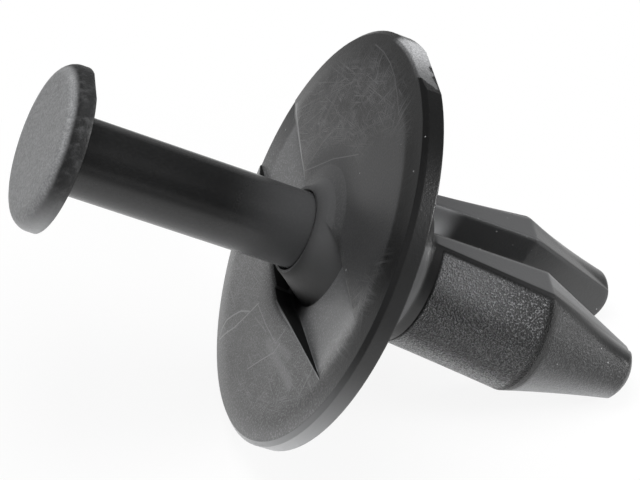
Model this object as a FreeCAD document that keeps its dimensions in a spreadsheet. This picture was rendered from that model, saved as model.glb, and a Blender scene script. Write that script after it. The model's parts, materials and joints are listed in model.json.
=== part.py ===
import FreeCAD, Part

import math
import os

import Sketcher

# A push-in retainer for a splash shield, moulded in two pieces. The retainer body has a round
# flange, a neck and two spreading legs. The push pin slides through the flange and between the
# legs until its head meets the hub. Both pieces share one frame before they are laid down: X runs
# across the width of the legs, Y from one leg to the other, and Z along the axis from the flange
# face to the leg tips. The part lies on its flange rim and its two leg tips, with X leaning up.

# Driving dimensions, in millimetres and degrees
SIZES = {
    # flange
    "flange_radius": 12.7,
    "flange_thickness": 1.4,
    "margin_width": 1.8,
    "margin_drop": 0.2,
    "rim_bevel": 0.25,
    # neck, and the hub that stands round the hole on the front face
    "neck_radius": 4.55,
    "neck_length": 4.3,
    "hub_height": 1.0,
    "hub_lip_radius": 2.65,
    "hub_waist_radius": 2.95,
    "hub_waist_height": 0.5,
    "hub_root_radius": 4.3,
    "fillet_radius": 4.3,
    "fillet_middle": 3.4,
    "fillet_rise": 0.2,
    # legs
    "leg_half_width": 3.85,
    "leg_inner": 1.5,
    "leg_embed": 0.8,
    "root_crease": 2.3,
    "root_crown": 4.25,
    "bend_crease": 3.55,
    "bend_crown": 6.2,
    "bend_distance": 12.4,
    "nose_length": 7.5,
    "nose_half_width": 1.15,
    "nose_inner": 2.65,
    "nose_crease": 2.85,
    "nose_crown": 5.2,
    "nose_axis": 3.3,
    "nose_round": 2.55,
    # prying recess across the front face, one ramp each side of the hub
    "ramp_end": 10.9,
    "ramp_angle": 7.6,
    "ramp_outer_left": 1.7,
    "ramp_outer_right": 2.5,
    "ramp_hub_left": 4.5,
    "ramp_hub_right": 2.3,
    "ramp_shoulder": 1.2,
    "runout_depth": 0.25,
    "runout_angle": 4.8,
    "runout_outer_left": 4.1,
    "runout_outer_right": 0.85,
    "runout_hub_left": 4.3,
    "runout_hub_right": 0.3,
    # flats left where the moulding gates were trimmed, turned about the axis from +X
    "flange_gate_depth": 0.2,
    "flange_gate_turn": -3.5,
    "head_gate_depth": 0.15,
    "head_gate_turn": 0,
    # push pin
    "shank_radius": 2.33,
    "pin_reach": 6.5,
    "point_length": 6.0,
    "point_radius": 1.5,
    "head_radius": 4.9,
    "head_thickness": 1.35,
    "head_round": 1.0,
    "head_standoff": 15.95,
    "running_clearance": 0.05,
    "mouth_clearance": 0.15,
    "mouth_depth": 1.2,
}

SHEET = "sizes"
OVERRUN = 1.0
CONTACT_TOLERANCE = 1e-7
SURFACE_TOLERANCE = 0.02
CUTS = ("PartDesign::Pocket", "PartDesign::Groove")


class Formula:
    """A value worked out from the sheet, kept together with the expression that binds it."""

    def __init__(self, value, text):
        self.value = value
        self.text = text

    def combine(self, other, sign, result):
        return Formula(result, f"({self.text} {sign} {text_of(other)})")

    def __add__(self, other):
        return self.combine(other, "+", self.value + value_of(other))

    def __sub__(self, other):
        return self.combine(other, "-", self.value - value_of(other))

    def __mul__(self, other):
        return self.combine(other, "*", self.value * value_of(other))

    def __neg__(self):
        return Formula(-self.value, f"(-1 * {self.text})")


def value_of(item):
    return item.value if isinstance(item, Formula) else item


def text_of(item):
    return item.text if isinstance(item, Formula) else repr(item)


class Sizes:
    """The spreadsheet of driving dimensions, read as formulas by name."""

    def __init__(self, doc):
        self.sheet = doc.addObject("Spreadsheet::Sheet", SHEET)
        for row, (name, value) in enumerate(SIZES.items(), start=1):
            self.sheet.set(f"A{row}", name)
            self.sheet.set(f"B{row}", str(value))
            self.sheet.setAlias(f"B{row}", name)
        doc.recompute()

    def __getattr__(self, name):
        return Formula(float(self.sheet.get(name)), f"{SHEET}.{name}")


def bind(item, path, formula):
    item.setExpression(path, formula.text)


def origin_feature(body, role):
    return next(item for item in body.Origin.OriginFeatures if item.Role == role)


def new_sketch(body, name, role):
    sketch = body.newObject("Sketcher::SketchObject", name)
    sketch.AttachmentSupport = [(origin_feature(body, role), "")]
    sketch.MapMode = "FlatFace"
    return sketch


def shift_sketch(sketch, axis, distance):
    """Move a sketch from its plane's origin along one of its own axes."""
    bind(sketch, f"AttachmentOffset.Base.{axis}", distance)


def fix_point(sketch, geometry, end, label, x, y):
    """Hold one end of a curve at a place given by two formulas, or by zero."""
    sides = (("DistanceX", "x", x, -2), ("DistanceY", "y", y, -1))
    for kind, letter, distance, axis in sides:
        if not isinstance(distance, Formula):
            sketch.addConstraint(Sketcher.Constraint("PointOnObject", geometry, end, axis))
            continue
        constraint = Sketcher.Constraint(kind, -1, 1, geometry, end, distance.value)
        name = f"{label}_{letter}"
        sketch.renameConstraint(sketch.addConstraint(constraint), name)
        bind(sketch, f"Constraints.{name}", distance)


def line(sketch, start, end):
    points = [FreeCAD.Vector(value_of(x), value_of(y), 0) for x, y in (start, end)]
    return sketch.addGeometry(Part.LineSegment(*points), False)


def chain(sketch, names, corners):
    """Lines from corner to corner, each corner joined and held in place. Returns the lines."""
    lines = [line(sketch, start, end) for start, end in zip(corners, corners[1:])]
    for first, second in zip(lines, lines[1:]):
        sketch.addConstraint(Sketcher.Constraint("Coincident", first, 2, second, 1))
    fix_point(sketch, lines[0], 1, names[0], *corners[0])
    for index, name, corner in zip(lines, names[1:], corners[1:]):
        fix_point(sketch, index, 2, name, *corner)
    return lines


def outline(sketch, corners):
    """A closed outline of straight lines through named corners."""
    names = list(corners)
    places = list(corners.values())
    lines = chain(sketch, names, places)
    last = line(sketch, places[-1], places[0])
    sketch.addConstraint(Sketcher.Constraint("Coincident", lines[-1], 2, last, 1))
    sketch.addConstraint(Sketcher.Constraint("Coincident", last, 2, lines[0], 1))


def arc_over(sketch, lines, crown):
    """Close a chain with an arc that rises from its two ends to a crown on the sketch's Y axis."""
    first = sketch.getPoint(lines[-1], 2)
    second = sketch.getPoint(lines[0], 1)
    top = FreeCAD.Vector(0, crown.value, 0)
    arc = sketch.addGeometry(Part.Arc(first, top, second), False)
    right, left = (1, 2) if sketch.getPoint(arc, 1).x > 0 else (2, 1)
    peak = sketch.addGeometry(Part.Point(top), True)
    sketch.addConstraint([
        Sketcher.Constraint("Coincident", lines[-1], 2, arc, right),
        Sketcher.Constraint("Coincident", lines[0], 1, arc, left),
        Sketcher.Constraint("PointOnObject", peak, 1, arc),
    ])
    fix_point(sketch, peak, 1, "crown", 0, crown)


def revolve(body, name, kind, sketch):
    feature = body.newObject(kind, name)
    feature.Profile = sketch
    feature.ReferenceAxis = (sketch, ["V_Axis"])
    feature.Angle = 360.0
    return feature


def circles_at(feature, radius, station):
    """Names of the round edges of one radius, centred on the axis at one station."""
    names = []
    for index, edge in enumerate(feature.Shape.Edges, start=1):
        curve = edge.Curve
        if not isinstance(curve, Part.Circle):
            continue
        same_radius = abs(curve.Radius - radius.value) < CONTACT_TOLERANCE
        if same_radius and abs(curve.Center.z - station.value) < CONTACT_TOLERANCE:
            names.append(f"Edge{index}")
    return names


def round_edges(body, name, edges, radius):
    feature = body.Tip
    fillet = body.newObject("PartDesign::Fillet", name)
    fillet.Base = (feature, edges)
    bind(fillet, "Radius", radius)
    return fillet


def add_flange_and_neck(body, size):
    """The flange, with a margin that falls away towards its rim, and the neck behind it."""
    sketch = new_sketch(body, "flange_profile", "XZ_Plane")
    neck_end = size.flange_thickness + size.neck_length
    outline(sketch, {
        "face_centre": (0, 0),
        "margin": (size.flange_radius - size.margin_width, 0),
        "bevel": (size.flange_radius - size.rim_bevel, size.margin_drop),
        "front_rim": (size.flange_radius, size.margin_drop + size.rim_bevel),
        "back_rim": (size.flange_radius, size.flange_thickness),
        "neck_root": (size.neck_radius, size.flange_thickness),
        "neck_end": (size.neck_radius, neck_end),
        "neck_centre": (0, neck_end),
    })
    revolve(body, "flange_and_neck", "PartDesign::Revolution", sketch)


def leg_section(body, name, station, half_width, inner, crease, crown):
    """One cross-section of a leg: a flat inner face, two flat sides and an arched outer face."""
    sketch = new_sketch(body, name, "XY_Plane")
    shift_sketch(sketch, "z", station)
    names = ("left_crease", "left_inner", "right_inner", "right_crease")
    corners = ((-half_width, crease), (-half_width, inner), (half_width, inner), (half_width, crease))
    arc_over(sketch, chain(sketch, names, corners), crown)
    return sketch


def add_legs(body, size):
    """Two legs that flare out to a bend, then narrow to rounded noses that open apart."""
    neck_end = size.flange_thickness + size.neck_length
    root = neck_end - size.leg_embed
    bend = size.flange_thickness + size.bend_distance
    tip = bend + size.nose_length
    width = size.leg_half_width
    loft = body.newObject("PartDesign::AdditiveLoft", "leg")
    loft.Profile = leg_section(body, "root_section", root, width, size.leg_inner,
                               size.root_crease, size.root_crown)
    loft.Sections = [
        leg_section(body, "bend_section", bend, width, size.leg_inner,
                    size.bend_crease, size.bend_crown),
        leg_section(body, "tip_section", tip, size.nose_half_width, size.nose_inner,
                    size.nose_crease, size.nose_crown),
    ]
    loft.Ruled = True

    sketch = new_sketch(body, "nose_profile", "YZ_Plane")
    shift_sketch(sketch, "x", size.nose_axis)
    start = tip - size.nose_round
    corners = ((0, tip), (0, tip + OVERRUN), (size.nose_round * 2, tip + OVERRUN),
               (size.nose_round * 2, start), (size.nose_round, start))
    names = ("pole", "axis_end", "far_corner", "near_corner", "equator")
    lines = chain(sketch, names, corners)
    centre = FreeCAD.Vector(0, start.value, 0)
    circle = Part.Circle(centre, FreeCAD.Vector(0, 0, 1), size.nose_round.value)
    arc = sketch.addGeometry(Part.ArcOfCircle(circle, 0, math.pi / 2), False)
    sketch.addConstraint([
        Sketcher.Constraint("Coincident", lines[-1], 2, arc, 1),
        Sketcher.Constraint("Coincident", lines[0], 1, arc, 2),
        Sketcher.Constraint("PointOnObject", arc, 3, -2),
    ])
    nose = revolve(body, "nose_dome", "PartDesign::Groove", sketch)

    pair = body.newObject("PartDesign::PolarPattern", "leg_pair")
    pair.Originals = [loft, nose]
    pair.Axis = (origin_feature(body, "Z_Axis"), [""])
    pair.Angle = 360.0
    pair.Occurrences = 2
    body.Tip = pair


def add_ramp(body, name, station, depth, angle, corners):
    """Cut a recess whose floor slopes down towards the hub from one place on the front face."""
    sketch = new_sketch(body, f"{name}_floor", "XY_Plane")
    offset = FreeCAD.Vector(0, station.value, value_of(depth))
    turn = FreeCAD.Rotation(FreeCAD.Vector(1, 0, 0), angle.value)
    sketch.AttachmentOffset = FreeCAD.Placement(offset, turn)
    bind(sketch, "AttachmentOffset.Base.y", station)
    if isinstance(depth, Formula):
        bind(sketch, "AttachmentOffset.Base.z", depth)
    bind(sketch, "AttachmentOffset.Rotation.Angle", angle)
    outline(sketch, corners)
    pocket = body.newObject("PartDesign::Pocket", name)
    pocket.Profile = sketch
    pocket.Type = "ThroughAll"
    pocket.Reversed = False


def add_recess(body, size):
    """The recess that takes the tip of a pry tool, cut before the hub that stands in it."""
    add_ramp(body, "recess_ramp", size.ramp_end, 0, -size.ramp_angle, {
        "outer_left": (-size.ramp_outer_left, 0),
        "outer_right": (size.ramp_outer_right, 0),
        "hub_right": (size.ramp_hub_right, -size.ramp_end),
        "hub_left": (-size.ramp_hub_left, -size.ramp_end),
        "shoulder": (-size.ramp_hub_left, size.ramp_shoulder - size.ramp_end),
    })
    reach = size.flange_radius + OVERRUN
    add_ramp(body, "recess_runout", -size.flange_radius, size.runout_depth, size.runout_angle, {
        "hub_left": (-size.runout_hub_left, size.flange_radius),
        "hub_right": (size.runout_hub_right, size.flange_radius),
        "outer_right": (size.runout_outer_right, size.flange_radius - reach),
        "outer_left": (-size.runout_outer_left, size.flange_radius - reach),
    })


def add_fillet(body, size):
    """The soft rise from the front face to the hub, which the recess then cuts through."""
    sketch = new_sketch(body, "fillet_profile", "XZ_Plane")
    outline(sketch, {
        "top_centre": (0, -size.hub_waist_height),
        "top_rim": (size.hub_waist_radius, -size.hub_waist_height),
        "middle": (size.fillet_middle, -size.fillet_rise),
        "base_rim": (size.fillet_radius, 0),
        "root_rim": (size.fillet_radius, size.flange_thickness),
        "root_centre": (0, size.flange_thickness),
    })
    revolve(body, "hub_fillet", "PartDesign::Revolution", sketch)


def add_hub(body, size):
    """The low hub round the hole, which spreads out below the front face to the recess floor."""
    sketch = new_sketch(body, "hub_profile", "XZ_Plane")
    outline(sketch, {
        "top_centre": (0, -size.hub_height),
        "lip": (size.hub_lip_radius, -size.hub_height),
        "waist": (size.hub_waist_radius, -size.hub_waist_height),
        "root_rim": (size.hub_root_radius, size.flange_thickness),
        "root_centre": (0, size.flange_thickness),
    })
    revolve(body, "hub", "PartDesign::Revolution", sketch)


def add_channel(body, size):
    """The hole and the groove between the legs, clear of the pin all the way home."""
    travel = size.head_standoff - size.hub_height
    radius = size.shank_radius + size.running_clearance
    mouth_radius = size.shank_radius + size.mouth_clearance
    end_radius = size.point_radius + size.running_clearance
    mouth = -size.hub_height - OVERRUN
    mouth_end = size.mouth_depth - size.hub_height
    taper = size.pin_reach - size.point_length + travel
    end = size.pin_reach + travel
    sketch = new_sketch(body, "channel_profile", "XZ_Plane")
    outline(sketch, {
        "mouth_centre": (0, mouth),
        "mouth_wall": (mouth_radius, mouth),
        "mouth_end": (mouth_radius, mouth_end),
        "channel_start": (radius, mouth_end),
        "taper_start": (radius, taper),
        "end_wall": (end_radius, end),
        "exit_wall": (end_radius, end + OVERRUN),
        "exit_centre": (0, end + OVERRUN),
    })
    revolve(body, "pin_channel", "PartDesign::Groove", sketch)


def add_gate_flat(body, name, radius, depth, turn):
    """Trim a rim to a small flat, turned about the axis from its +X side."""
    sketch = new_sketch(body, f"{name}_outline", "XY_Plane")
    rotation = FreeCAD.Rotation(FreeCAD.Vector(0, 0, 1), turn.value)
    sketch.AttachmentOffset = FreeCAD.Placement(FreeCAD.Vector(), rotation)
    bind(sketch, "AttachmentOffset.Rotation.Angle", turn)
    reach = radius * 0.5
    outline(sketch, {
        "inner_left": (radius - depth, -reach),
        "outer_left": (radius + OVERRUN, -reach),
        "outer_right": (radius + OVERRUN, reach),
        "inner_right": (radius - depth, reach),
    })
    pocket = body.newObject("PartDesign::Pocket", name)
    pocket.Profile = sketch
    pocket.Type = "ThroughAll"
    pocket.SideType = "Symmetric"


def build_retainer_body(doc, size):
    body = doc.addObject("PartDesign::Body", "retainer_body")
    body.Label = "retainer_body"
    add_flange_and_neck(body, size)
    add_legs(body, size)
    add_fillet(body, size)
    add_recess(body, size)
    add_hub(body, size)
    add_channel(body, size)
    add_gate_flat(body, "flange_gate", size.flange_radius, size.flange_gate_depth,
                  size.flange_gate_turn)
    doc.recompute()
    return body


def build_push_pin(doc, size):
    """The pin, drawn where it stands when it is pulled out, with its head before the flange."""
    body = doc.addObject("PartDesign::Body", "push_pin")
    body.Label = "push_pin"
    back = -size.head_standoff
    front = back - size.head_thickness
    taper = size.pin_reach - size.point_length
    sketch = new_sketch(body, "pin_profile", "XZ_Plane")
    outline(sketch, {
        "front_centre": (0, front),
        "front_rim": (size.head_radius, front),
        "back_rim": (size.head_radius, back),
        "shank_root": (size.shank_radius, back),
        "taper_start": (size.shank_radius, taper),
        "point_rim": (size.point_radius, size.pin_reach),
        "point_centre": (0, size.pin_reach),
    })
    revolve(body, "head_and_shank", "PartDesign::Revolution", sketch)
    doc.recompute()
    rim = circles_at(body.Tip, size.head_radius, front)
    round_edges(body, "head_front_round", rim, size.head_round)
    add_gate_flat(body, "head_gate", size.head_radius, size.head_gate_depth,
                  size.head_gate_turn)
    doc.recompute()
    return body


def side_view(body):
    """Points of a piece's surface, seen along Y: how far across, and how far along the axis."""
    return [(point.x, point.z) for point in body.Shape.tessellate(SURFACE_TOLERANCE)[0]]


def lowest(points, tilt):
    """How far the lowest of some points lies below the axis origin, for one tilt of the axis."""
    return max(-across * math.cos(tilt) + along * math.sin(tilt) for across, along in points)


def rest_tilt(points, size):
    """The tilt of the axis at which the flange rim and the leg tips touch the ground together."""
    reach = size.flange_thickness.value + CONTACT_TOLERANCE
    rim = [point for point in points if point[1] <= reach]
    legs = [point for point in points if point[1] > reach]
    flat, steep = 0.0, math.pi / 2
    while steep - flat > CONTACT_TOLERANCE:
        middle = (flat + steep) / 2
        if lowest(legs, middle) < lowest(rim, middle):
            flat = middle
        else:
            steep = middle
    return flat


def lay_down(retainer, pin, size):
    """Lay the part to rest on the ground, centred over the origin, with its legs towards +X."""
    points = side_view(retainer)
    tilt = rest_tilt(points, size)
    sine, cosine = math.sin(tilt), math.cos(tilt)
    reaches = [across * sine + along * cosine for across, along in points + side_view(pin)]
    middle = (min(reaches) + max(reaches)) / 2
    place = FreeCAD.Vector(-middle, 0, lowest(points, tilt))
    leaning = FreeCAD.Vector(sine, 0, cosine)
    outward = FreeCAD.Vector(0, -1, 0)
    along = FreeCAD.Vector(cosine, 0, -sine)
    turn = FreeCAD.Rotation(leaning, outward, along, "ZXY")
    for body in (retainer, pin):
        body.Placement = FreeCAD.Placement(place, turn)
    return tilt, place


def check_document(doc, bodies):
    """Stop if any feature failed, any cut took nothing away or any piece is not one solid."""
    for item in doc.Objects:
        if "Invalid" in item.State or "Error" in item.State:
            raise RuntimeError(f"{item.Name} failed: {item.State}")
        if item.TypeId in CUTS and item.Shape.Volume >= item.BaseFeature.Shape.Volume:
            raise RuntimeError(f"{item.Name} took no material away")
    for body in bodies:
        shape = body.Shape
        if shape.isNull() or not shape.isValid() or len(shape.Solids) != 1:
            raise RuntimeError(f"{body.Label} is not one valid solid")


def main():
    doc = FreeCAD.newDocument("splash_shield_retainer")
    size = Sizes(doc)
    retainer = build_retainer_body(doc, size)
    pin = build_push_pin(doc, size)
    bodies = (retainer, pin)
    tilt, place = lay_down(retainer, pin, size)
    doc.recompute()
    check_document(doc, bodies)

    os.makedirs("parts", exist_ok=True)
    for body in bodies:
        body.Shape.exportStep(f"parts/{body.Label}.step")
        box = body.Shape.BoundBox
        print(f"{body.Label}: {body.Shape.Volume:.1f} mm3, "
              f"x {box.XMin:.2f} to {box.XMax:.2f}, y {box.YMin:.2f} to {box.YMax:.2f}, "
              f"z {box.ZMin:.2f} to {box.ZMax:.2f}")
    print(f"rest tilt {math.degrees(tilt):.3f} degrees, flange face centre at "
          f"x {place.x:.3f}, z {place.z:.3f} mm")


main()
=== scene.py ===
import json
import math

import bpy
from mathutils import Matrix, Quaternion, Vector

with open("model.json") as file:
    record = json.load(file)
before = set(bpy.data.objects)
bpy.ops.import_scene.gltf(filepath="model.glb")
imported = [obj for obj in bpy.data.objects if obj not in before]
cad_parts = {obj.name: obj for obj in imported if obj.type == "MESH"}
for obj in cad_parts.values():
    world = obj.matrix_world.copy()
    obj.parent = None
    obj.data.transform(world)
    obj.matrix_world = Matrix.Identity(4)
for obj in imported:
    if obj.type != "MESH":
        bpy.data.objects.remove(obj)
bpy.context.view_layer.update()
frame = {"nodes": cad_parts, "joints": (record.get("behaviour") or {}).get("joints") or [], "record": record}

# A push-in retainer of black moulded plastic, lying on a white table with its pin drawn out.
# Lengths are in millimetres, and MM turns them into Blender's metres. Surface detail is placed in
# the part's own coordinates: m runs across the legs and leans up, n runs from the axis towards the
# near leg, and s runs along the axis from the flange face to the leg tips.
MM = 0.001

RETAINER = frame["nodes"]["retainer_body"]
PIN = frame["nodes"]["push_pin"]
MOUNTS = {mount["name"]: mount for mount in frame["record"]["mounts"]}

# sizes of the part that the surface detail follows
FLANGE_THICKNESS = 1.4
MARGIN_RADIUS = 10.9
LEG_HALF_WIDTH = 3.85
NOSE_HALF_WIDTH = 1.15
BEND = 13.8
TIP = 21.3
HEAD_BACK = -15.95

ALONG = Vector(frame["joints"][0]["axis"]).normalized()
OUTWARD = Vector((0, -1, 0))
ACROSS = OUTWARD.cross(ALONG)
AXES = (ACROSS, OUTWARD, ALONG)
FACE_CENTRE = Vector(MOUNTS["snap_in_legs"]["pos_m"]) - ALONG * FLANGE_THICKNESS * MM

# the camera that was fitted to the photo, with its angles in degrees
CAMERA_AZIMUTH = -5.659
CAMERA_ELEVATION = 39.61
CAMERA_ROLL = -2.358
CAMERA_DISTANCE = 140.21
CAMERA_TARGET = Vector((-0.347, -0.279, 11.432)) * MM
CAMERA_LENS = 135.0
CAMERA_NEAREST = 1.0
CAMERA_FARTHEST = 10000.0

PLASTIC_IOR = 1.55
BEVEL_SAMPLES = 8
# red and blue of the plastic, next to its green
TINT_RED = 0.99
TINT_BLUE = 1.02

TABLE_SIZE = 4000.0
TABLE_WHITE = 0.9
# the table's glow in reflections, under the lamp and far from it, and the distances between
POOL_GLOW = (1.0, 0.25)
POOL_REACH = (38.0, 90.0)
# the share of plain white that covers the shadow, under the object and away from it
SHADOW_COVER = (0.9, 1.0)
SHADOW_REACH = (18.0, 36.0)

WORLD_STRENGTH = 0.3
# the white of the world in reflections, at the horizon and above it, up to this rise
WORLD_GLOW = (1.0, 0.12)
HORIZON_RISE = 0.12

LAMP_TARGET = Vector((0, 0, 8)) * MM
# name, azimuth and elevation in degrees, distance, size, power in watts, seen in reflections
LAMPS = (
    ("top", 0, 89, 110, 60, 0.09, False),
    ("right", 78, 16, 200, 50, 0.15, True),
    ("fill", 60, 45, 200, 80, 0.12, False),
)


def direction(azimuth, elevation):
    """The way from the object to a viewer at an azimuth and an elevation, in degrees."""
    turn, rise = math.radians(azimuth), math.radians(elevation)
    level = math.cos(rise)
    return Vector((math.sin(turn) * level, -math.cos(turn) * level, math.sin(rise)))


def add_camera():
    data = bpy.data.cameras.new("camera")
    data.lens = CAMERA_LENS
    data.clip_start = CAMERA_NEAREST * MM
    data.clip_end = CAMERA_FARTHEST * MM
    camera = bpy.data.objects.new("camera", data)
    bpy.context.scene.collection.objects.link(camera)
    back = direction(CAMERA_AZIMUTH, CAMERA_ELEVATION)
    camera.location = CAMERA_TARGET + back * CAMERA_DISTANCE * MM
    camera.rotation_mode = "QUATERNION"
    roll = Quaternion((0, 0, 1), math.radians(CAMERA_ROLL))
    camera.rotation_quaternion = (-back).to_track_quat("-Z", "Y") @ roll
    bpy.context.scene.camera = camera


class Graph:
    """Builds a node tree from plain calls. A value is a number, a tuple or a node's output."""

    def __init__(self, tree):
        tree.nodes.clear()
        self.tree = tree

    def node(self, kind, inputs, output=0, **settings):
        made = self.tree.nodes.new(kind)
        for name, value in settings.items():
            setattr(made, name, value)
        for name, value in inputs.items():
            socket = made.inputs[name]
            if isinstance(value, bpy.types.NodeSocket):
                self.tree.links.new(value, socket)
            else:
                socket.default_value = value
        return made.outputs[output] if made.outputs else made

    def math(self, operation, first, second=0.0):
        return self.node("ShaderNodeMath", {0: first, 1: second}, operation=operation)

    def add(self, first, second):
        return self.math("ADD", first, second)

    def subtract(self, first, second):
        return self.math("SUBTRACT", first, second)

    def multiply(self, first, second):
        return self.math("MULTIPLY", first, second)

    def most(self, first, second):
        return self.math("MAXIMUM", first, second)

    def size(self, value):
        return self.math("ABSOLUTE", value)

    def overlap(self, first, *others):
        """The product of several shares: 1 where all of them are 1, 0 where any of them is 0."""
        for other in others:
            first = self.multiply(first, other)
        return first

    def vector(self, operation, first, second):
        return self.node("ShaderNodeVectorMath", {0: first, 1: second}, operation=operation)

    def dot(self, first, second):
        return self.node("ShaderNodeVectorMath", {0: first, 1: second}, output="Value",
                         operation="DOT_PRODUCT")

    def length(self, value):
        return self.node("ShaderNodeVectorMath", {0: value}, output="Value", operation="LENGTH")

    def ramp(self, value, start, end, low=0.0, high=1.0):
        """Runs smoothly from low at start to high at end. Start may lie above end."""
        if start > end:
            start, end, low, high = end, start, high, low
        inputs = {"Value": value, "From Min": start, "From Max": end, "To Min": low, "To Max": high}
        return self.node("ShaderNodeMapRange", inputs, interpolation_type="SMOOTHSTEP")

    def ramp_straight(self, value, start, end, low, high):
        """Runs evenly from low at start to high at end."""
        inputs = {"Value": value, "From Min": start, "From Max": end, "To Min": low, "To Max": high}
        return self.node("ShaderNodeMapRange", inputs)

    def blend(self, share, low, high):
        """A number between low, where the share is 0, and high, where it is 1."""
        inputs = {"Factor": share, 2: low, 3: high}
        return self.node("ShaderNodeMix", inputs, data_type="FLOAT")

    def layers(self, base, *layers):
        """A base with layers laid over it in turn. A layer is its share and its number."""
        for share, value in layers:
            base = self.blend(share, base, value)
        return base

    def noise(self, place, scale, detail=2.0, rough=0.5):
        inputs = {"Vector": place, "Scale": scale, "Detail": detail, "Roughness": rough}
        return self.node("ShaderNodeTexNoise", inputs)


class Place:
    """A surface point in the part's coordinates m, n and s in millimetres, and how it faces."""

    def __init__(self, graph):
        point = graph.node("ShaderNodeTexCoord", {}, output="Object")
        moved = graph.vector("SUBTRACT", point, FACE_CENTRE)
        normal = graph.node("ShaderNodeTexCoord", {}, output="Normal")
        self.m, self.n, self.s = (graph.dot(moved, axis / MM) for axis in AXES)
        self.facing_m, self.facing_n, self.facing_s = (graph.dot(normal, axis) for axis in AXES)
        self.point = graph.node("ShaderNodeCombineXYZ", {"X": self.m, "Y": self.n, "Z": self.s})
        self.flat = graph.node("ShaderNodeCombineXYZ", {"X": self.m, "Y": self.n, "Z": 0.0})
        self.radius = graph.length(self.flat)


def new_graph(name):
    material = bpy.data.materials.new(name)
    material.use_nodes = True
    return material, Graph(material.node_tree)


def grey(graph, value):
    """A near-neutral colour from one number."""
    return graph.node("ShaderNodeCombineColor", {
        "Red": graph.multiply(value, TINT_RED),
        "Green": value,
        "Blue": graph.multiply(value, TINT_BLUE),
    })


def finish_plastic(graph, shade, rough, height, edge):
    """The one plastic shader: its shade, roughness, relief and softened edges in millimetres."""
    rounded = graph.node("ShaderNodeBevel", {"Radius": graph.multiply(edge, MM)},
                         samples=BEVEL_SAMPLES)
    bump = graph.node("ShaderNodeBump", {
        "Height": height, "Distance": MM, "Strength": 1.0, "Normal": rounded,
    })
    shader = graph.node("ShaderNodeBsdfPrincipled", {
        "Base Color": grey(graph, shade),
        "Roughness": rough,
        "IOR": PLASTIC_IOR,
        "Normal": bump,
    })
    graph.node("ShaderNodeOutputMaterial", {"Surface": shader})


# scratches and painted edge highlights on the face: half width, strength, a path of (m, n) points
SCRATCHES_AND_EDGE_HIGHLIGHTS = (
    (0.05, 1.0, ((-11.6, -3.1), (-10.95, -3.4), (-10.2, -3.3), (-9.4, -2.9), (-8.5, -2.3),
                 (-7.6, -1.3))),
    (0.05, 1.0, ((-11.6, -3.0), (-10.7, -2.5), (-9.5, -1.85), (-8.5, -1.5), (-6.5, -0.85))),
    (0.04, 0.7, ((-8.75, 2.7), (-7.25, 3.5), (-5.8, 4.35), (-4.95, 4.4))),
    (0.04, 0.6, ((-6.55, -0.75), (-6.1, 1.5), (-5.4, 3.95), (-4.2, 4.0))),
    (0.04, 0.5, ((-7.1, -0.2), (-6.2, 2.0))),
    (0.035, 0.25, ((9.7, -6.6), (10.3, -5.0), (10.65, -3.4), (10.75, -2.0), (10.6, -0.4),
                   (10.3, 1.2))),
    (0.03, 0.3, ((0.55, -5.45), (2.9, -5.3), (5.15, -4.6))),
    (0.03, 0.35, ((0.65, -5.3), (3.6, -2.9), (6.0, -0.4))),
    (0.03, 0.3, ((0.7, -9.3), (3.4, -7.9))),
    (0.35, 0.35, ((-6.15, 3.0), (-4.7, 8.25))),
    (0.3, 0.3, ((-5.6, 3.6), (-4.3, 6.2))),
    # the last two rows are painted highlights along the sharp edges of the recesses
    (0.07, 0.8, ((1.05, -11.75), (0.8, -9.2), (0.45, -4.6))),
    (0.07, 0.6, ((-4.6, 0.95), (-4.3, 2.25), (-3.15, 5.8), (-1.8, 10.7))),
)
# a mark fades between these multiples of its half width
MARK_FADE = (1.6, 0.4)

# directions of the fine wear on the flange face in degrees, each with its lines per millimetre
WEAR = ((8, 6.0), (22, 7.0), (38, 8.0), (52, 7.0), (75, 6.5), (105, 6.0), (140, 5.5))
# A hairline runs where a noise, drawn out along the line by the stretch, crosses its middle. A
# second noise leaves it out between patches.
WEAR_STRETCH = 0.09
WEAR_LINE = (0.024, 0.0)
WEAR_PATCH_SCALE = 0.6
WEAR_PATCH = (0.42, 0.58)


def distance_to(graph, at, start, end):
    """How far the flat point lies from the straight line between two (m, n) points."""
    origin = Vector((*start, 0))
    reach = Vector((*end, 0)) - origin
    offset = graph.vector("SUBTRACT", at.flat, origin)
    share = graph.dot(offset, reach / reach.length_squared)
    inside = graph.node("ShaderNodeClamp", {"Value": share})
    nearest = graph.node("ShaderNodeVectorMath", {0: reach, "Scale": inside}, operation="SCALE")
    return graph.length(graph.vector("SUBTRACT", offset, nearest))


def scratches_and_edge_highlights(graph, at):
    """As strong as each mark along the scratches and painted edge highlights, 0 elsewhere."""
    marks = 0.0
    for half_width, strength, path in SCRATCHES_AND_EDGE_HIGHLIGHTS:
        outside, inside = (half_width * share for share in MARK_FADE)
        for start, end in zip(path, path[1:]):
            gap = distance_to(graph, at, start, end)
            marks = graph.most(marks, graph.ramp(gap, outside, inside, 0.0, strength))
    return marks


def fine_wear(graph, at):
    """Faint hairlines in several directions, broken up into patches."""
    marks = 0.0
    for angle, density in WEAR:
        turned = graph.node("ShaderNodeVectorRotate", {
            "Vector": at.flat, "Angle": math.radians(angle),
        }, rotation_type="Z_AXIS")
        drawn = graph.vector("MULTIPLY", turned, (density, WEAR_STRETCH, 1.0))
        wave = graph.noise(drawn, 1.0, detail=1.0)
        line = graph.ramp(graph.size(graph.subtract(wave, 0.5)), *WEAR_LINE)
        patch = graph.ramp(graph.noise(turned, WEAR_PATCH_SCALE, detail=1.0), *WEAR_PATCH)
        marks = graph.most(marks, graph.multiply(line, patch))
    return marks


# dust is left out where a noise of this share of its density is low
DUST_CHOICE_SCALE = 0.7
DUST_CHOICE = (0.53, 0.57)


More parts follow.
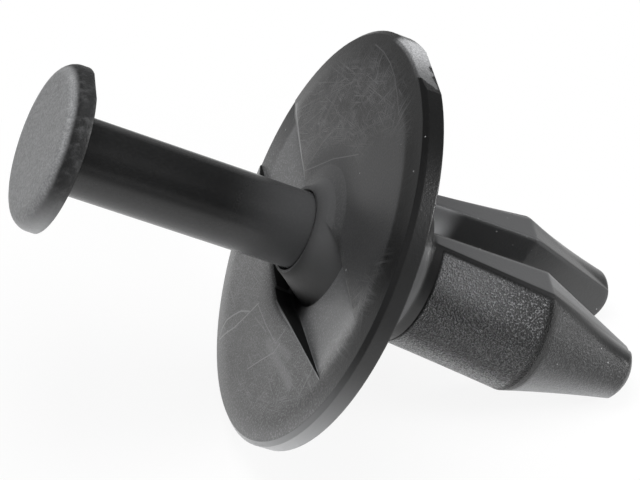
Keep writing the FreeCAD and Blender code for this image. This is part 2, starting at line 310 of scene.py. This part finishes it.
def specks(graph, at, density, size):
    """Small pale grains of dust, so many to the millimetre and of a radius in millimetres."""
    cells = graph.node("ShaderNodeTexVoronoi", {"Vector": at.point, "Scale": density},
                       output="Distance")
    chosen = graph.noise(at.point, density * DUST_CHOICE_SCALE, detail=0.0)
    grain = graph.ramp(cells, size * density, size * density * 0.5)
    return graph.multiply(grain, graph.ramp(chosen, *DUST_CHOICE))


# the torn skin on the rim: its reach in n, m and radius, and the slanting line where it ends
GATE_N = (-5.2, -4.0)
GATE_M = (10.5, 11.2)
GATE_RADIUS = (12.2, 12.35)
GATE_S = (0.1, 0.3)
GATE_SLANT = 0.86
GATE_SLANT_END = (0.2, 0.0)
# scale, detail and roughness of the noise that frays its outline, and how far that reaches
FRAY_NOISE = (2.2, 3.0, 0.6)
FRAY_REACH = 0.5
# the dark ragged end of the skin
TORN_S = (1.15, 1.3)
TORN_N = (-1.6, -1.2)


def gate_mark(graph, at):
    """The pale torn skin where the moulding gate was cut from the rim, and its dark ragged end."""
    ragged = graph.subtract(graph.noise(at.point, *FRAY_NOISE), 0.5)
    across = graph.add(at.n, graph.multiply(ragged, FRAY_REACH))
    slant = graph.subtract(across, graph.multiply(at.s, GATE_SLANT))
    inside = graph.overlap(graph.ramp(across, *GATE_N), graph.ramp(slant, *GATE_SLANT_END))
    on_rim = graph.overlap(graph.ramp(at.radius, *GATE_RADIUS), graph.ramp(at.m, *GATE_M))
    pale = graph.overlap(inside, on_rim, graph.ramp(at.s, *GATE_S))
    torn = graph.overlap(graph.ramp(graph.add(at.s, ragged), *TORN_S), graph.ramp(at.n, *TORN_N))
    return graph.layers(pale, (torn, 0.0))


# Where each place on the retainer begins and where it is full: stations in s, m and radius in
# millimetres, and how far a surface faces along an axis.
BEHIND_S = (2.0, 2.6)
FRONT_S = (1.3, 0.9)
FACE_FACING = (-0.8, -0.9)
OUTER_FACING = (0.12, 0.3)
INNER_FACING = (-0.5, -0.7)
LOW_FACING = (0.55, -0.6)
HIGH_FACING = (0.25, 0.62)
HUB_RADIUS = (6.5, 4.5)
RECESS_S = (0.03, 0.2)
WALL_FACING = (0.5, 0.7)
WALL_M = (-1.2, -1.7)
WALL_RADIUS = (11.2, 10.9)
RIM_S = (2.0, 1.6)
RIM_RADIUS = (12.3, 12.5)
NECK_S = (5.9, 5.5)
SLOT_LIGHT_S = (8.9, 7.4)
LEGS_S = (6.4, 6.6)
LEGS_INSET = (0.1, 0.3)
EDGE_BAND_INSET = (0.3, 0.15)
NOSE_S = (BEND - 0.1, BEND + 0.3)
CREASE_S = BEND + 0.05
CREASE_REACH = (0.6, 0.15)
SIDES_S = (5.8, 6.2)
SIDES_FACING = (0.85, 0.92)
# the flange face is rubbed rougher, with a painted sheen, around the line between these (m, n) points
RUBBED_LINE = ((0.0, 4.0), (6.0, 4.5))
RUBBED_REACH = (6.0, 3.0)


class Places:
    """Shares that are 1 on a place of the retainer and 0 away from it."""

    def __init__(self, graph, at):
        outwards = graph.multiply(at.facing_n, graph.math("SIGN", at.n))
        half_width = graph.ramp_straight(at.s, BEND, TIP, LEG_HALF_WIDTH, NOSE_HALF_WIDTH)
        inset = graph.subtract(half_width, graph.size(at.m))
        # surfaces that face down and up, which the shades use to paint light from below and above
        self.low = graph.ramp(at.facing_m, *LOW_FACING)
        self.high = graph.ramp(at.facing_m, *HIGH_FACING)

        self.behind = graph.ramp(at.s, *BEHIND_S)
        outer = graph.overlap(self.behind, graph.ramp(outwards, *OUTER_FACING))
        self.neck = graph.overlap(self.behind, graph.ramp(at.s, *NECK_S))
        self.inner = graph.overlap(self.behind, graph.ramp(outwards, *INNER_FACING))
        self.slot_light = graph.overlap(self.inner, graph.ramp(at.s, *SLOT_LIGHT_S))
        self.legs = graph.overlap(outer, graph.ramp(at.s, *LEGS_S),
                                  graph.ramp(inset, *LEGS_INSET))
        self.dark_edge_band = graph.overlap(outer, graph.ramp(inset, *EDGE_BAND_INSET))
        self.nose = graph.ramp(at.s, *NOSE_S)
        self.crease = graph.ramp(graph.size(graph.subtract(at.s, CREASE_S)), *CREASE_REACH)
        facing_side = graph.ramp(graph.size(at.facing_m), *SIDES_FACING)
        self.sides = graph.overlap(self.behind, facing_side, graph.ramp(at.s, *SIDES_S))

        front = graph.ramp(at.s, *FRONT_S)
        self.face = graph.overlap(front, graph.ramp(at.facing_s, *FACE_FACING))
        self.hub = graph.overlap(graph.ramp(at.radius, *HUB_RADIUS), front)
        self.recess = graph.overlap(self.face, graph.ramp(at.s, *RECESS_S))
        self.wall = graph.overlap(front, graph.ramp(at.facing_m, *WALL_FACING),
                                  graph.ramp(at.m, *WALL_M), graph.ramp(at.radius, *WALL_RADIUS))
        self.rim = graph.overlap(graph.ramp(at.s, *RIM_S), graph.ramp(at.radius, *RIM_RADIUS))
        self.rubbed_and_sheen = graph.ramp(distance_to(graph, at, *RUBBED_LINE), *RUBBED_REACH)
        self.gate = gate_mark(graph, at)


# shades of the flange, from 0 for black to 1 for white
PLAIN_SHADE = 0.012
RIM_FACING = (0.15, -0.6)
RIM_N = (5.0, 10.0)
RIM_HIGH_SHADES = (0.007, 0.016)
# painted light from the table on the rim where it faces down
RIM_LIT_BELOW_SHADE = 0.45
SMEAR_SCALE = 0.3
SMEAR_SPREAD = (0.35, 0.7)
FACE_SHADES = (0.004, 0.016)
# painted sheen on the rubbed part of the face
RUBBED_SHEEN_SHADE = 0.045
# painted light on the hub's upper side and painted shade on its lower side
HUB_LIGHT_AND_SHADE = (0.09, 0.006)
# painted light on the recess floor
RECESS_FLOOR_LIGHT = 0.13
# painted shade on the steep wall of the recess
WALL_PAINTED_SHADE = 0.005


def flange_shade(graph, at, on):
    """The rim with painted light where it faces down, the smeared face, the hub and the recess."""
    high_rim = graph.ramp(at.n, *RIM_N, *RIM_HIGH_SHADES)
    rim = graph.blend(graph.ramp(at.facing_m, *RIM_FACING), high_rim, RIM_LIT_BELOW_SHADE)
    smear = graph.noise(at.point, SMEAR_SCALE)
    return graph.layers(
        PLAIN_SHADE,
        (on.rim, rim),
        (on.face, graph.ramp(smear, *SMEAR_SPREAD, *FACE_SHADES)),
        # painted sheen where the face is rubbed
        (graph.overlap(on.face, on.rubbed_and_sheen), RUBBED_SHEEN_SHADE),
        # painted light above and painted shade below on the hub
        (on.hub, graph.blend(on.low, *HUB_LIGHT_AND_SHADE)),
        # painted light on the recess floor
        (on.recess, RECESS_FLOOR_LIGHT),
        # painted shade on the steep wall of the recess
        (on.wall, WALL_PAINTED_SHADE),
    )


# shades of the legs on their broad outer sides, before the bend and on the noses
# upper and lower side; the paler lower side is painted light from the table
LEG_SHADES_LIT_BELOW = (0.03, 0.12)
# painted reflection of the table where the legs turn down at their lower edges
LEG_UNDER_FACING = (-0.25, -0.62)
LEG_UNDER_LIGHT_SHADE = 0.3
# painted light on the upper side of the legs, strongest towards the flange
LEG_TOP_S = (13.4, 8.0)
LEG_TOP_LIGHT_SHADES = (0.02, 0.14)
GRAIN_SPREAD = (0.32, 0.68)
GRAIN_CONTRAST = (0.45, 1.6)
# pale worn peaks of the grain, and painted glints on the upper side between the stations in s
PEAK_SPREAD = (0.5, 0.72)
GLINT_S = (8.0, 12.5)
GLINT_SHADES = (0.12, 0.28)
WORN_PEAK_SHADE = 0.06
# upper and lower side of the noses; the paler lower side is painted light from the table
NOSE_SHADES_LIT_BELOW = (0.025, 0.35)
NOSE_GRAIN_SPREAD = (0.4, 0.75)
NOSE_GRAIN_SHADE = 0.05
# painted shade in the crease at the bend
CREASE_PAINTED_SHADE = 0.012


def leg_shade(graph, at, on, grain):
    """Grainy legs with painted light and glints, smoother noses and painted shade in the crease."""
    # painted reflection of the table along the lower edges of the legs
    painted_under_light = graph.ramp(at.facing_m, *LEG_UNDER_FACING, 0.0, LEG_UNDER_LIGHT_SHADE)
    leg = graph.add(graph.blend(on.low, *LEG_SHADES_LIT_BELOW), painted_under_light)
    leg = graph.multiply(leg, graph.ramp(grain, *GRAIN_SPREAD, *GRAIN_CONTRAST))
    # painted light on the upper side of the legs
    top = graph.multiply(on.high, graph.ramp(at.s, *LEG_TOP_S, *LEG_TOP_LIGHT_SHADES))
    leg = graph.add(leg, top)
    # painted light from the table on the lower side of the noses
    nose = graph.blend(graph.multiply(on.low, on.low), *NOSE_SHADES_LIT_BELOW)

    # pale worn peaks of the grain, with painted glints on the upper side
    glint = graph.ramp(at.s, *GLINT_S, *GLINT_SHADES)
    worn_peaks_and_glints = graph.multiply(graph.ramp(grain, *PEAK_SPREAD),
                             graph.blend(on.high, WORN_PEAK_SHADE, glint))
    nose_sparkle = graph.ramp(grain, *NOSE_GRAIN_SPREAD, 0.0, NOSE_GRAIN_SHADE)
    shade = graph.add(graph.blend(on.nose, leg, nose),
                      graph.blend(on.nose, worn_peaks_and_glints, nose_sparkle))
    # painted shade in the crease
    return graph.layers(shade, (on.crease, CREASE_PAINTED_SHADE))


# the narrow sides of the legs, and the line along each nose that its outer part starts from
SIDE_SHADE = 0.08
FAR_NOSE_N = (1.0, -1.0)
# painted shade on the side of the far nose
FAR_NOSE_PAINTED_SHADE = 0.03
NOSE_LINE_N = (2.55, 2.75)
OUTER_NOSE_REACH = (0.0, 0.35)
# painted shade on the outer part of each nose's side
OUTER_NOSE_PAINTED_SHADE = 0.015


def side_shade(graph, at, on):
    """The narrow sides of the legs, with painted shade on the far nose and on the outer part of both."""
    far_nose = graph.overlap(on.nose, graph.ramp(at.n, *FAR_NOSE_N))
    line = graph.ramp_straight(at.s, BEND, TIP, *NOSE_LINE_N)
    beyond = graph.subtract(graph.size(at.n), line)
    outer_nose = graph.overlap(on.nose, graph.ramp(beyond, *OUTER_NOSE_REACH))
    return graph.layers(
        SIDE_SHADE,
        (far_nose, FAR_NOSE_PAINTED_SHADE),
        (outer_nose, OUTER_NOSE_PAINTED_SHADE),
    )


# hairlines fade out near the rim and near the hub, and marks keep to the level of the face
HAIRLINE_RIM = (12.2, 10.0)
HAIRLINE_HUB = (4.8, 6.5)
HAIRLINE_STRENGTH = 0.36
MARKED_S = (0.32, 0.24)


def face_marks(graph, at, on):
    """Scratches and painted edge highlights on the face, and hairlines except where it is rubbed."""
    strength = graph.overlap(graph.ramp(at.radius, *HAIRLINE_RIM),
                             graph.ramp(at.radius, *HAIRLINE_HUB, 0.0, HAIRLINE_STRENGTH))
    strength = graph.layers(strength, (on.rubbed_and_sheen, 0.0))
    hairlines = graph.multiply(fine_wear(graph, at), strength)
    return graph.overlap(on.face, graph.ramp(at.s, *MARKED_S),
                         graph.most(hairlines, scratches_and_edge_highlights(graph, at)))


# shades of the neck, of the inside of the legs and of what lies on the moulding
# painted light on the neck behind the flange
NECK_PAINTED_LIGHT = 0.1
INNER_SHADE = 0.045
# painted light on the inner sides at the closed end of the slot between the legs, paler lower down
SLOT_LIGHT_M = (3.5, 1.5)
SLOT_LIGHT_SHADES = (0.25, 0.8)
# a dark band along the edges of the legs' outer sides
EDGE_BAND_SHADE = 0.008
EDGE_BAND_STRENGTH = 0.8
# the mottled bloom on the face, with painted light that makes it strongest at its lower end
MOTTLE_SPREAD = (0.48, 0.68)
MOTTLE_M = (5.0, -5.0)
MOTTLE_AND_LIGHT_SHADES = (0.02, 0.13)
# painted shade on the sloping margin, over the mottle, growing towards its upper end
MARGIN_STEP = (MARGIN_RADIUS - 0.2, MARGIN_RADIUS + 0.2)
MARGIN_M = (-6.0, 2.0)
MARGIN_STRENGTH = 0.9
MARGIN_PAINTED_SHADE = 0.003
MARK_SHADE = 0.35
MARK_STRENGTH = 0.8
DUST_SHADE = 0.5
DUST_STRENGTH = 0.8
SKIN_SPREAD = (0.3, 0.7)
SKIN_CONTRAST = (0.75, 1.2)
SKIN_N = (-4.0, 0.8)
SKIN_SHADES = (0.42, 0.1)


def retainer_shade(graph, at, on, grain):
    """The flange and legs, with painted light and shade, and what is worn, dusty or torn on them."""
    moulded = graph.layers(
        flange_shade(graph, at, on),
        (on.legs, leg_shade(graph, at, on, grain)),
        (on.neck, NECK_PAINTED_LIGHT),
        (on.sides, side_shade(graph, at, on)),
        (on.inner, INNER_SHADE),
        (on.slot_light, graph.ramp(at.m, *SLOT_LIGHT_M, *SLOT_LIGHT_SHADES)),
        (graph.multiply(on.dark_edge_band, EDGE_BAND_STRENGTH), EDGE_BAND_SHADE),
    )
    mottle_and_light = graph.overlap(on.face, graph.ramp(grain, *MOTTLE_SPREAD),
                           graph.ramp(at.m, *MOTTLE_M, *MOTTLE_AND_LIGHT_SHADES))
    painted_margin_shade = graph.overlap(on.face, graph.ramp(at.radius, *MARGIN_STEP),
                           graph.ramp(at.m, *MARGIN_M, 0.0, MARGIN_STRENGTH))
    dust = specks(graph, at, density=1.0, size=0.06)
    skin = graph.multiply(graph.ramp(grain, *SKIN_SPREAD, *SKIN_CONTRAST),
                          graph.ramp(at.n, *SKIN_N, *SKIN_SHADES))
    return graph.layers(
        graph.add(moulded, mottle_and_light),
        (painted_margin_shade, MARGIN_PAINTED_SHADE),
        (graph.multiply(face_marks(graph, at, on), MARK_STRENGTH), MARK_SHADE),
        (graph.multiply(dust, DUST_STRENGTH), DUST_SHADE),
        (on.gate, skin),
    )


# scale, detail and roughness of the noise behind the grain and behind the satin flange
GRAIN_NOISE = (9.0, 2.0, 0.5)
SATIN_NOISE = (5.5, 3.0, 0.7)

# roughness of the plastic, smooth or worn, and of the places that differ
SMOOTH = 0.3
WORN = 0.42
HUB_ROUGHNESS = 0.5
WALL_ROUGHNESS = 0.8
GATE_ROUGHNESS = 0.7

# height of the grain and of the satin, in millimetres
LEG_RELIEF = 0.48
NOSE_RELIEF = 0.08
SATIN_RELIEF = 0.012

# how far edges are softened: of the flange, of the legs, and around the margin and the hub
FLANGE_EDGE = 0.12
LEG_EDGE = 0.4
ROUND_EDGE = 1.2
MARGIN_REACH = (1.2, 0.6)
HUB_TOP_S = (1.0, 0.4)


def retainer_plastic():
    material, graph = new_graph("retainer_plastic")
    at = Place(graph)
    on = Places(graph, at)
    grain = graph.noise(at.point, *GRAIN_NOISE)
    satin = graph.noise(at.point, *SATIN_NOISE)

    rough = graph.layers(
        SMOOTH,
        (graph.overlap(on.face, on.rubbed_and_sheen), WORN),
        (on.legs, graph.blend(on.nose, SMOOTH, WORN)),
        (on.hub, HUB_ROUGHNESS),
        (on.wall, WALL_ROUGHNESS),
        (on.gate, GATE_ROUGHNESS),
    )
    leg_relief = graph.multiply(grain, graph.blend(on.nose, LEG_RELIEF, NOSE_RELIEF))
    height = graph.blend(on.legs, graph.multiply(satin, SATIN_RELIEF), leg_relief)

    slope = graph.ramp(graph.size(graph.subtract(at.radius, MARGIN_RADIUS)), *MARGIN_REACH)
    hub_top = graph.multiply(on.hub, graph.ramp(at.s, *HUB_TOP_S))
    edge = graph.layers(
        FLANGE_EDGE,
        (on.behind, LEG_EDGE),
        (graph.most(hub_top, slope), ROUND_EDGE),
    )
    finish_plastic(graph, retainer_shade(graph, at, on, grain), rough, height, edge)
    return material


# scale, detail and roughness of the noise behind the pin's grain and behind its flecks
PIN_NOISE = (8.0, 2.0, 0.5)
FLECK_NOISE = (2.2, 3.0, 0.6)
# the head, its front and the surfaces that face down, where light from the table is painted
PIN_HEAD_S = (HEAD_BACK + 0.02, HEAD_BACK - 0.02)
PIN_FRONT_FACING = (-0.55, -0.9)
PIN_LOW_FACING = (0.25, -0.7)
# the shank, paler towards the body and dark again inside it
SHANK_S = (-7.0, -1.0)
SHANK_SHADES = (0.008, 0.07)
SHANK_GRAIN_SPREAD = (0.35, 0.8)
SHANK_GRAIN_SHADE = 0.006
# painted light from the table on the shank's lower side
SHANK_LIT_BELOW_SHADE = 0.055
SHANK_HIDDEN_S = (0.0, 3.0)
SHANK_HIDDEN_SHARE = 0.3
# the side of the head and its pale front
HEAD_SIDE_SPREAD = (0.42, 0.75)
HEAD_SIDE_SHADES = (0.018, 0.05)
# painted light from the table on the lower side of the head
HEAD_LIT_BELOW_SHADE = 0.42
HEAD_GRAIN_SPREAD = (0.35, 0.7)
HEAD_FRONT_SHADES = (0.26, 0.39)
HEAD_FLECK_SPREAD = (0.4, 0.7)
HEAD_FLECK_SHADE = 0.05
PIN_DUST_SHADE = 0.4
PIN_DUST_STRENGTH = 0.4
# roughness and relief of the shank and of the head
PIN_ROUGHNESS = (0.26, 0.45)
PIN_RELIEF = (0.002, 0.03)
PIN_EDGE = 0.2


def pin_plastic():
    material, graph = new_graph("pin_plastic")
    at = Place(graph)
    head = graph.ramp(at.s, *PIN_HEAD_S)
    front = graph.overlap(head, graph.ramp(at.facing_s, *PIN_FRONT_FACING))
    low = graph.ramp(at.facing_m, *PIN_LOW_FACING)
    grain = graph.noise(at.point, *PIN_NOISE)
    flecks = graph.noise(at.point, *FLECK_NOISE)

    shank = graph.add(graph.ramp(at.s, *SHANK_S, *SHANK_SHADES),
                      graph.ramp(grain, *SHANK_GRAIN_SPREAD, 0.0, SHANK_GRAIN_SHADE))
    shank = graph.add(shank, graph.multiply(low, SHANK_LIT_BELOW_SHADE))
    shank = graph.multiply(shank, graph.ramp(at.s, *SHANK_HIDDEN_S, 1.0, SHANK_HIDDEN_SHARE))
    side = graph.add(graph.ramp(flecks, *HEAD_SIDE_SPREAD, *HEAD_SIDE_SHADES),
                     graph.multiply(low, HEAD_LIT_BELOW_SHADE))
    pale = graph.add(graph.ramp(grain, *HEAD_GRAIN_SPREAD, *HEAD_FRONT_SHADES),
                     graph.ramp(flecks, *HEAD_FLECK_SPREAD, 0.0, HEAD_FLECK_SHADE))
    dust = specks(graph, at, density=1.1, size=0.05)
    shade = graph.layers(
        shank,
        (head, side),
        (front, pale),
        (graph.multiply(dust, PIN_DUST_STRENGTH), PIN_DUST_SHADE),
    )
    rough = graph.blend(head, *PIN_ROUGHNESS)
    height = graph.multiply(grain, graph.blend(head, *PIN_RELIEF))
    finish_plastic(graph, shade, rough, height, PIN_EDGE)
    return material


def dress(node, material):
    node.data.materials.clear()
    node.data.materials.append(material)


def seen_plainly(graph):
    """The share of light that the camera sees, and the share that shows the surroundings plainly.

    The second one is what the camera, a reflection or a clear body shows. The rest lights the
    object.
    """
    camera = graph.node("ShaderNodeLightPath", {}, output="Is Camera Ray")
    mirrored = graph.node("ShaderNodeLightPath", {}, output="Is Glossy Ray")
    through = graph.node("ShaderNodeLightPath", {}, output="Is Transmission Ray")
    return camera, graph.most(camera, graph.most(mirrored, through))


def add_floor():
    """A white table, plainly white to the camera apart from the object's faint shadow.

    In reflections its white fades with the distance from the pool of light under the lamp.
    """
    bpy.ops.mesh.primitive_plane_add(size=TABLE_SIZE * MM, location=(0, 0, 0))
    floor = bpy.context.object
    floor.name = "table"
    material, graph = new_graph("white table")
    white = (TABLE_WHITE, TABLE_WHITE, TABLE_WHITE, 1)
    point = graph.node("ShaderNodeTexCoord", {}, output="Object")
    away = graph.multiply(graph.length(point), 1 / MM)
    camera, plainly = seen_plainly(graph)
    pool = graph.ramp(away, *POOL_REACH, *POOL_GLOW)
    matte = graph.node("ShaderNodeBsdfDiffuse", {"Color": white})
    glow = graph.node("ShaderNodeEmission", {"Strength": graph.blend(camera, pool, 1.0)})
    share = graph.multiply(plainly, graph.ramp(away, *SHADOW_REACH, *SHADOW_COVER))
    both = graph.node("ShaderNodeMixShader", {0: share, 1: matte, 2: glow})
    graph.node("ShaderNodeOutputMaterial", {"Surface": both})
    floor.data.materials.append(material)


def add_world():
    """Even light from all round, plain white to the camera and, in reflections, at the horizon."""
    world = bpy.data.worlds.new("studio")
    bpy.context.scene.world = world
    world.use_nodes = True
    graph = Graph(world.node_tree)
    camera, plainly = seen_plainly(graph)
    way = graph.node("ShaderNodeTexCoord", {}, output="Generated")
    height = graph.node("ShaderNodeSeparateXYZ", {"Vector": way}, output="Z")
    horizon = graph.ramp(height, 0.0, HORIZON_RISE, *WORLD_GLOW)
    soft = graph.node("ShaderNodeBackground", {"Strength": WORLD_STRENGTH})
    white = graph.node("ShaderNodeBackground", {"Strength": graph.blend(camera, horizon, 1.0)})
    both = graph.node("ShaderNodeMixShader", {0: plainly, 1: soft, 2: white})
    graph.node("ShaderNodeOutputWorld", {"Surface": both})


def add_lamp(name, azimuth, elevation, distance, size, power, mirrored):
    data = bpy.data.lights.new(name, "AREA")
    data.size = size * MM
    data.energy = power
    lamp = bpy.data.objects.new(name, data)
    lamp.visible_camera = False
    lamp.visible_glossy = mirrored
    bpy.context.scene.collection.objects.link(lamp)
    back = direction(azimuth, elevation)
    lamp.location = LAMP_TARGET + back * distance * MM
    lamp.rotation_mode = "QUATERNION"
    lamp.rotation_quaternion = (-back).to_track_quat("-Z", "Y")


add_camera()
add_floor()
add_world()
for lamp in LAMPS:
    add_lamp(*lamp)
dress(RETAINER, retainer_plastic())
dress(PIN, pin_plastic())

bpy.context.scene.view_settings.view_transform = "Standard"
